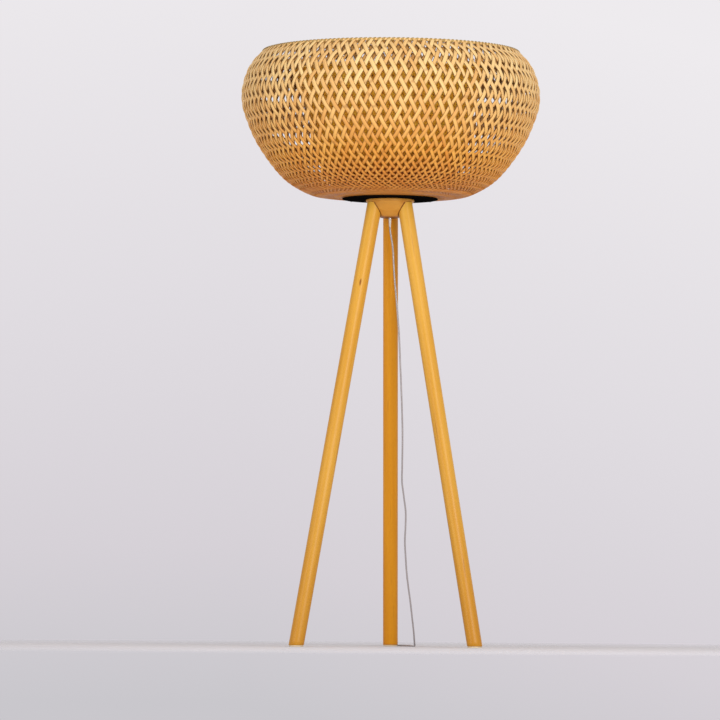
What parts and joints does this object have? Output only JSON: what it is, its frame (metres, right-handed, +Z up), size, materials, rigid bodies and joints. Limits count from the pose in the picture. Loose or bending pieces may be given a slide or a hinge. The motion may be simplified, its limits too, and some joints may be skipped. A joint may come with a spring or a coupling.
{
  "type": "woven bamboo tripod floor lamp",
  "caption": "Floor lamp with a wide open-topped bowl shade of diagonal bamboo weave over a narrower woven inner shade, on a turned hub and a tripod of round wooden poles.",
  "frame": {"origin": "on the floor, under the middle of the shade", "axes": "+Z up; the front, with a pole to the left and one to the right, faces -Y; +X is to the right seen from the front"},
  "size_m": [0.8234, 0.9966, 1.67],
  "materials": {
    "outer_weave": "split bamboo strips, satin, honey coloured, paler on the raised faces",
    "inner_weave": "finer split bamboo, satin, orange brown",
    "pole_wood": "smooth satin lacquer over straight grain",
    "black_steel": "matt black powder coat",
    "zinc_steel": "bright zinc plate",
    "brass": "nickel-free brass, satin",
    "clear_cord": "pale clear flex",
    "clear_plastic": "pale clear moulding",
    "black_plastic": "satin black moulding",
    "white_plastic": "satin white moulding",
    "bulb_glass": "frosted, warm white",
    "foot_rubber": "pale soft rubber"
  },
  "bodies": {
    "lamp": {"leg_front_right": "pole_wood", "leg_back": "pole_wood", "leg_front_left": "pole_wood", "leg_stud_front_right": "zinc_steel", "leg_stud_back": "zinc_steel", "leg_stud_front_left": "zinc_steel", "foot_pad_front_right": "foot_rubber", "foot_pad_back": "foot_rubber", "foot_pad_front_left": "foot_rubber", "hub": "pole_wood", "base_plate": "black_steel", "outer_shade": "outer_weave", "inner_shade": "inner_weave", "rim_hoop": "outer_weave", "inner_rim_hoop": "inner_weave", "base_hoop": "outer_weave", "inner_base_hoop": "inner_weave", "plate_screw_1": "zinc_steel", "plate_screw_2": "zinc_steel", "plate_screw_3": "zinc_steel", "hoop_screw_1": "black_steel", "hoop_screw_2": "black_steel", "hoop_screw_3": "black_steel", "inner_hoop_screw_1": "black_steel", "inner_hoop_screw_2": "black_steel", "inner_hoop_screw_3": "black_steel", "threaded_tube": "zinc_steel", "washer_lower": "zinc_steel", "nut_lower": "zinc_steel", "washer_upper": "zinc_steel", "nut_upper": "zinc_steel", "holder_cap": "white_plastic", "holder_shell": "white_plastic", "holder_ring": "white_plastic", "contact_insert": "white_plastic", "thread_sleeve": "brass", "bulb_cap": "brass", "bulb_globe": "bulb_glass", "inner_lead": "clear_cord", "cord_relief": "clear_cord", "cord_drop": "clear_cord", "switch_lower": "clear_plastic", "switch_upper": "clear_plastic", "switch_screw_1": "zinc_steel", "switch_screw_2": "zinc_steel", "cord_hank": "clear_cord", "hank_tie": "black_plastic", "plug_body": "clear_plastic", "plug_blade_left": "brass", "plug_blade_right": "brass"},
    "rocker": {"switch_rocker": "black_plastic"}
  },
  "joints": [
    {"name": "rocker_press", "type": "hinge", "parent": "lamp", "child": "rocker", "pos_m": [0.0005, 0.4013, 0.013], "axis": [1, 0, 0], "range_deg": [0, 16]}
  ]
}
